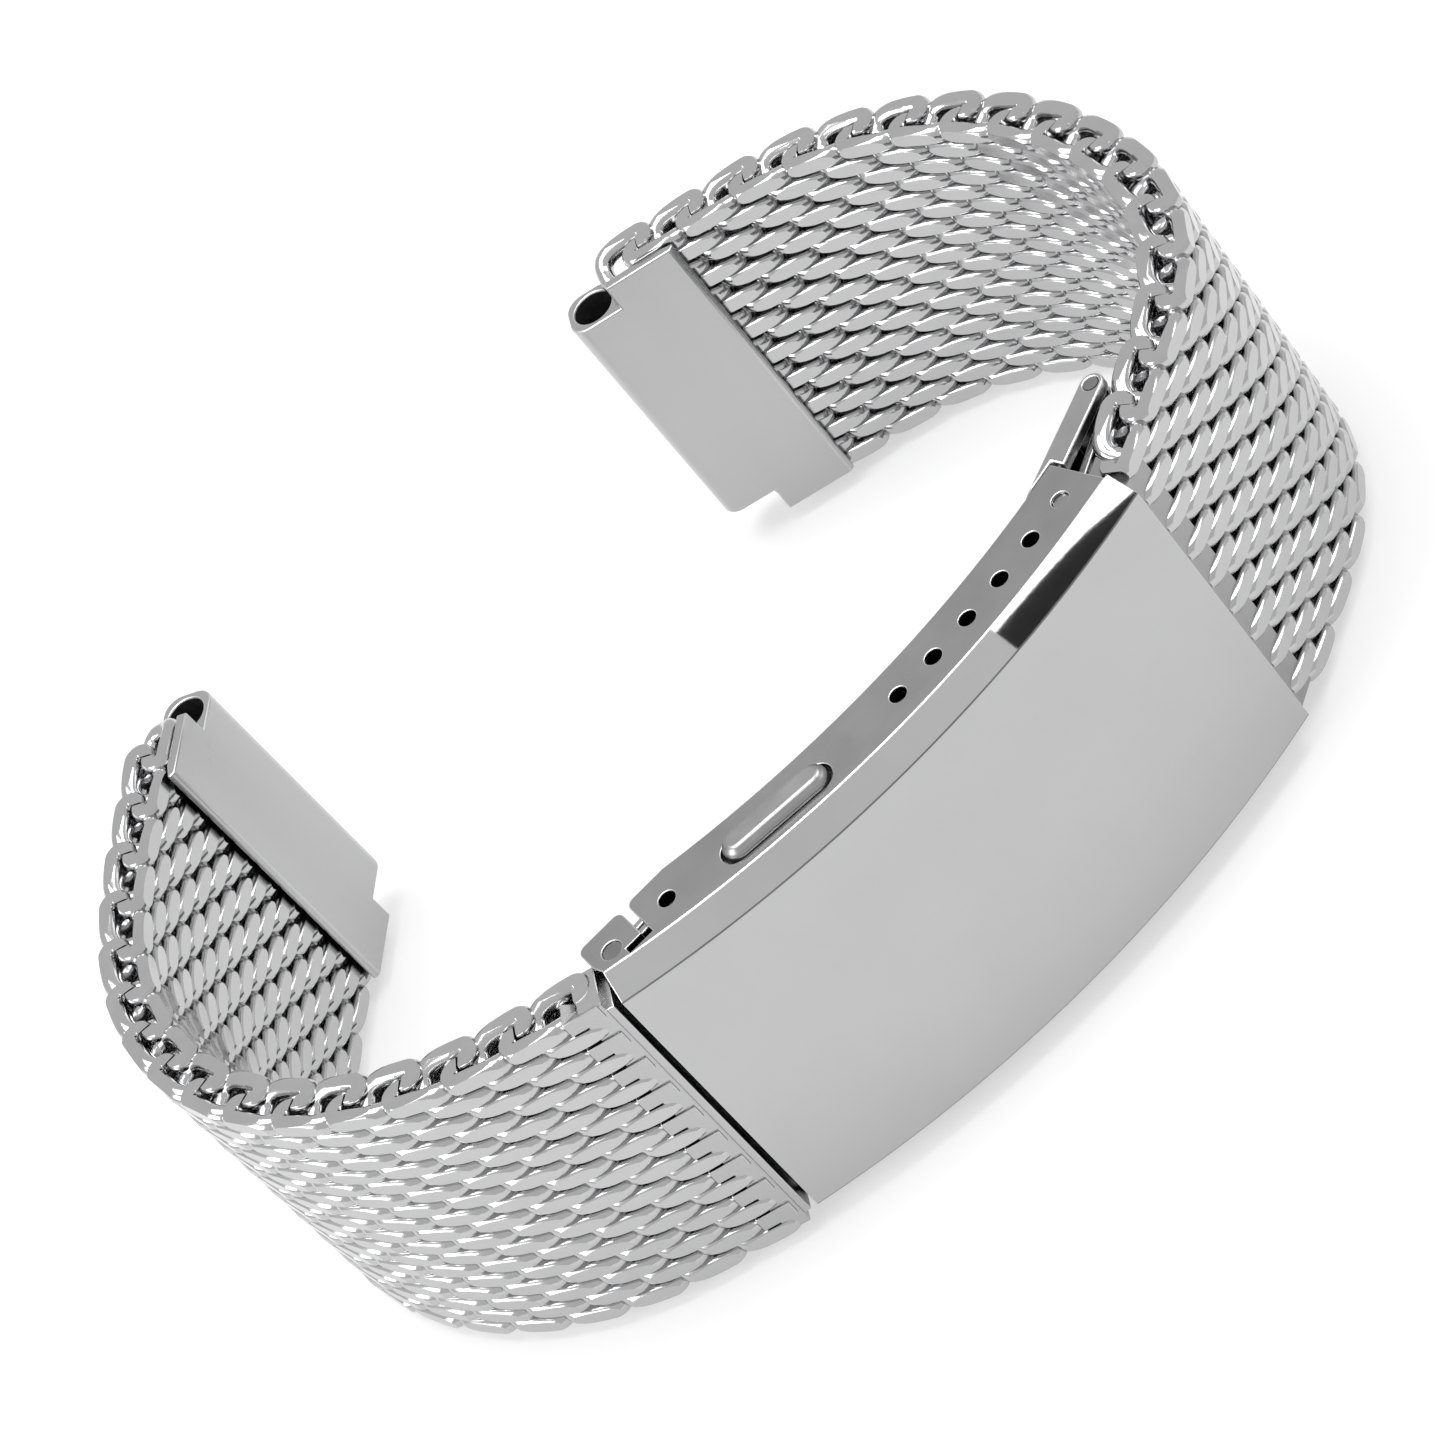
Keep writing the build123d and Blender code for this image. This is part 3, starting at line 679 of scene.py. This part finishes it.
# %% Cover
TOP, WALL, BEVEL, EDGE, SEAM = range(5)
cover_finishes = ["polished_cover", "satin_wall_painted_shade", "polished_bevel", "edge_painted_highlight", "seam_painted_shade"]
WALL_TILT, BEVEL_TILT = 0.9, 0.3
SEAM_TILTS = (0.08, 0.74)
OUTWARD = -0.5


def cover_finish(face, is_round):
    tilt = abs(face.normal.z)
    if is_round:
        # the rounds between top and bevel get the painted shade, all other rounds the painted
        # highlight
        on_seam = face.normal.y < OUTWARD and SEAM_TILTS[0] < tilt < SEAM_TILTS[1]
        return SEAM if on_seam else EDGE
    if tilt > WALL_TILT:
        return WALL
    return BEVEL if tilt > BEVEL_TILT else TOP


soften_node("cover", "cover", "polished_cover", 0.06 * MM, cover_finishes, cover_finish)
print("cover with", len(cover_finishes), "finishes")

# %% [markdown]
# ## Filler bars
# Where a strap's first strands meet the plate that holds them, the real band shows closed
# metal, ground flush with the wire. Modelling each joint would take many small faces. A
# plain bar behind the strands shows the same: it lies a little below their ground faces
# and closes the slits between them.

# %% Filler bars at the end bar and the link
def filler(place, along, level, half_width):
    """A bar in a coil's frame, and the matrix that carries it to its place."""
    form = bmesh.new()
    bmesh.ops.create_cube(form, size=1.0)
    stretch = Matrix.Diagonal((along[1] - along[0], 2 * level, 2 * half_width, 1.0))
    middle = Matrix.Translation((sum(along) / 2, 0, 0))
    bmesh.ops.transform(form, matrix=middle @ stretch, verts=form.verts)
    bmesh.ops.bevel(form, geom=form.edges[:], offset=0.05 * MM, segments=1, affect="EDGES")
    mesh = bpy.data.meshes.new("filler")
    form.to_mesh(mesh)
    form.free()
    return mesh, coil_place(place)


bar_filler = filler(
    coils_b[1], along=(-2.4 * MM, -1.0 * MM), level=1.47 * MM, half_width=10.85 * MM
)
link_filler = filler(coils_a[0], along=(0.0, 2.3 * MM), level=1.36 * MM, half_width=10.3 * MM)
print("bars of", len(bar_filler[0].vertices), "points")

# %% [markdown]
# ## Plates, blades and buttons
# The other plates are softened in the same way. Their faces keep the finish that they
# were worked to, and their rounds get a lighter grey, a painted highlight. The link plate's
# faces take the walls' darker satin, which is partly painted shade. The buttons have wider
# rounds, because a finger rests on them.

# %% Plates, blades and buttons
def plate_finish(face, is_round):
    return 1 if is_round else 0


def button_finish(face, is_round):
    return 0


# node, body, slot, width of the rounds in millimetres, finish of the faces, filler bar
for name, body, slot, width, face_finish, extra in (
    ("end_piece_a", "mesh_a_16", "brushed_plate", 0.1, "brushed_plate", None),
    ("end_piece_b", "mesh_b_15", "brushed_plate", 0.1, "brushed_plate", None),
    ("end_bar_b", "lower_blade", "brushed_plate", 0.06, "brushed_plate", bar_filler),
    ("link_plate_a", "link", "blade_steel", 0.08, "satin_wall_painted_shade", link_filler),
    ("upper_blade", "upper_blade", "blade_steel", 0.1, "satin_blade", None),
    ("lower_blade", "lower_blade", "blade_steel", 0.08, "satin_blade", None),
):
    # the rounds get the lighter grey of the painted highlight
    finishes = [face_finish, "edge_painted_highlight"]
    soften_node(name, body, slot, width * MM, finishes, plate_finish, extra=extra)
for name in ("button_near", "button_far"):
    soften_node(name, name, "button_steel", 0.12 * MM, ["button_face"], button_finish, segments=3)
print("softened pieces in place")

# %% [markdown]
# ## Pins and hidden pieces
# The pins, the rivets and what sits inside the clasp are right as the CAD model has them.
# They keep their shape and only get a steel: turned metal on the pins, satin on the rest.

# %% CAD nodes that keep their shape
turned = ("hinge_pin", "arm_rivet")
for name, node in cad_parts.items():
    if node.type != "MESH":
        continue
    # the rest take the walls' darker satin, whose greys are partly painted shade
    finish = steels["turned_pin" if name in turned else "satin_wall_painted_shade"]
    for slot in node.material_slots:
        slot.material = finish
    if not node.material_slots:
        node.data.materials.append(finish)
print("turned pieces", turned)

# %% [markdown]
# ## Floor and background
# The bracelet stands on a pale floor. The camera and the reflections see a part of it
# glow, so that it comes out nearly white, while it still takes the shadow. The white
# background is in the same way only what the camera and the reflections see of the world:
# it adds no light of its own.

# %% Helpers for what is only seen
def seen_share(tree):
    """1 for a ray from the camera, from a mirror or through glass, and otherwise 0."""
    path = add_node(tree, "ShaderNodeLightPath")
    camera_ray, glossy_ray, clear_ray = (
        Value(tree, path.outputs[f"Is {kind} Ray"]) for kind in ("Camera", "Glossy", "Transmission")
    )
    return math_node("MINIMUM", camera_ray + (glossy_ray + clear_ray), 1.0)


def blend_surfaces(tree, share, plain, seen, output):
    """Show one shader in place of another by a share."""
    blend = add_node(tree, "ShaderNodeMixShader")
    share.into(blend.inputs[0])
    tree.links.new(plain.outputs[0], blend.inputs[1])
    tree.links.new(seen.outputs[0], blend.inputs[2])
    tree.links.new(blend.outputs[0], tree.nodes[output].inputs["Surface"])


print("helpers", seen_share.__name__, blend_surfaces.__name__)

# %% Floor
floor_half = 2
floor_glow = 0.55
floor_corners = [
    (-floor_half, -floor_half, 0),
    (floor_half, -floor_half, 0),
    (floor_half, floor_half, 0),
    (-floor_half, floor_half, 0),
]
floor_mesh = bpy.data.meshes.new("floor")
floor_mesh.from_pydata(floor_corners, [], [(0, 1, 2, 3)])
floor = bpy.data.objects.new("floor", floor_mesh)
bpy.context.collection.objects.link(floor)
floor_paint = bpy.data.materials.new("pale_floor")
floor_paint.use_nodes = True
tree = floor_paint.node_tree
paper = tree.nodes["Principled BSDF"]
paper.inputs["Roughness"].default_value = 0.9
paper.inputs["Base Color"].default_value = (0.9, 0.9, 0.9, 1.0)
glow = add_node(tree, "ShaderNodeEmission", Strength=1.0)
blend_surfaces(tree, seen_share(tree) * floor_glow, paper, glow, "Material Output")
floor_mesh.materials.append(floor_paint)
print("floor of", 2 * floor_half, "m")

# %% World
world_strength = 0.55
world = bpy.data.worlds.new("studio")
bpy.context.scene.world = world
world.use_nodes = True
tree = world.node_tree
ambient = tree.nodes["Background"]
ambient.inputs["Color"].default_value = (1, 1, 1, 1)
ambient.inputs["Strength"].default_value = world_strength
backdrop = add_node(tree, "ShaderNodeBackground", Strength=1.0)
blend_surfaces(tree, seen_share(tree), ambient, backdrop, "World Output")
print("world light", world_strength)

# %% [markdown]
# ## Two cards beside the clasp
# Polished steel shows what stands round it. In a studio, dark and white cards are held
# near shiny metal to draw crisp shapes on it, and the photograph shows such a dark and
# white reflection on the bevel, at the clasp's right end. Each card is cut so that its
# mirror image, seen from the camera, has that outline: a line from the camera is thrown
# back off the bevel at every corner, and the card's corner stands a short way along it.
# Only reflections see the cards.

# %% Mirror cards
card_distance = 0.03
cover_centre = Vector((2.592, 39.57, 0.0)) * MM
bevel_radius, bevel_level = 64.73 * MM, 23.25 * MM
bevel_height, bevel_width = 1.5 * MM, 1.2 * MM


def mirror_card(name, outline, grey, glow):
    """Outline: angle along the cover in degrees, then two shares of the bevel's width."""
    eye = camera.matrix_world.translation
    points = []
    for angle, *shares in outline:
        outward = Vector((sin(radians(angle)), -cos(radians(angle)), 0.0))
        normal = (outward * bevel_width + Vector((0, 0, bevel_height))).normalized()
        for share in shares:
            spot = cover_centre + outward * (bevel_radius + share * bevel_height)
            spot.z = bevel_level - share * bevel_width
            points.append(spot + card_distance * (spot - eye).normalized().reflect(normal))
    strips = [(2 * i, 2 * i + 1, 2 * i + 3, 2 * i + 2) for i in range(len(outline) - 1)]
    mesh = bpy.data.meshes.new(name)
    mesh.from_pydata(points, [], strips)
    card = bpy.data.objects.new(name, mesh)
    bpy.context.collection.objects.link(card)
    card.visible_camera = False
    card.visible_shadow = False
    card.visible_diffuse = False
    paint = bpy.data.materials.new(name)
    paint.use_nodes = True
    shader = paint.node_tree.nodes["Principled BSDF"]
    shader.inputs["Base Color"].default_value = (grey, grey, grey, 1)
    shader.inputs["Roughness"].default_value = 0.9
    shader.inputs["Emission Color"].default_value = (1, 1, 1, 1)
    shader.inputs["Emission Strength"].default_value = glow
    mesh.materials.append(paint)


# where the dark shape starts: angle along the cover, and share of the bevel's width
dark_edge = [
    (7.4, 0.2), (9.5, 0.22), (11.2, 0.28), (12.8, 0.37), (14.0, 0.48), (15.4, 0.7), (16.9, 1.0)
]
inside_bevel, past_bevel = -0.2, 1.2
white_edge = dark_edge + [(18.0, past_bevel)]
dark_outline = [(angle, share, past_bevel) for angle, share in dark_edge]
white_outline = [(angle, inside_bevel, share) for angle, share in white_edge]
mirror_card("dark_card", dark_outline, grey=0.02, glow=0.0)
mirror_card("white_card", white_outline, grey=0.8, glow=1.8)
print("cards", len(dark_outline), "and", len(white_outline), "rows of corners")

# %% [markdown]
# ## Lamps
# Three soft boxes light the bracelet, one from above and one from each side. They give
# the wire its white flanks and keep the plates at an even grey.

# %% Soft boxes
def soft_box(name, place, aim, width, power):
    lamp = bpy.data.lights.new(name, "AREA")
    lamp.shape = "RECTANGLE"
    lamp.size = width
    lamp.size_y = width
    lamp.energy = power
    holder = bpy.data.objects.new(name, lamp)
    bpy.context.collection.objects.link(holder)
    holder.location = place
    direction = Vector(aim) - Vector(place)
    holder.rotation_euler = direction.to_track_quat("-Z", "Y").to_euler()


soft_box("top_box", place=(-0.05, 0.05, 0.45), aim=(0, 0, 0), width=0.30, power=1.6)
soft_box("left_box", place=(-0.40, -0.05, 0.25), aim=(0, 0, 0.01), width=0.25, power=1.0)
soft_box("right_box", place=(0.35, 0.02, 0.45), aim=(0, 0, 0.01), width=0.25, power=1.2)
bpy.context.scene.view_settings.view_transform = "Standard"
print("lamps", [lamp.name for lamp in bpy.data.lights])
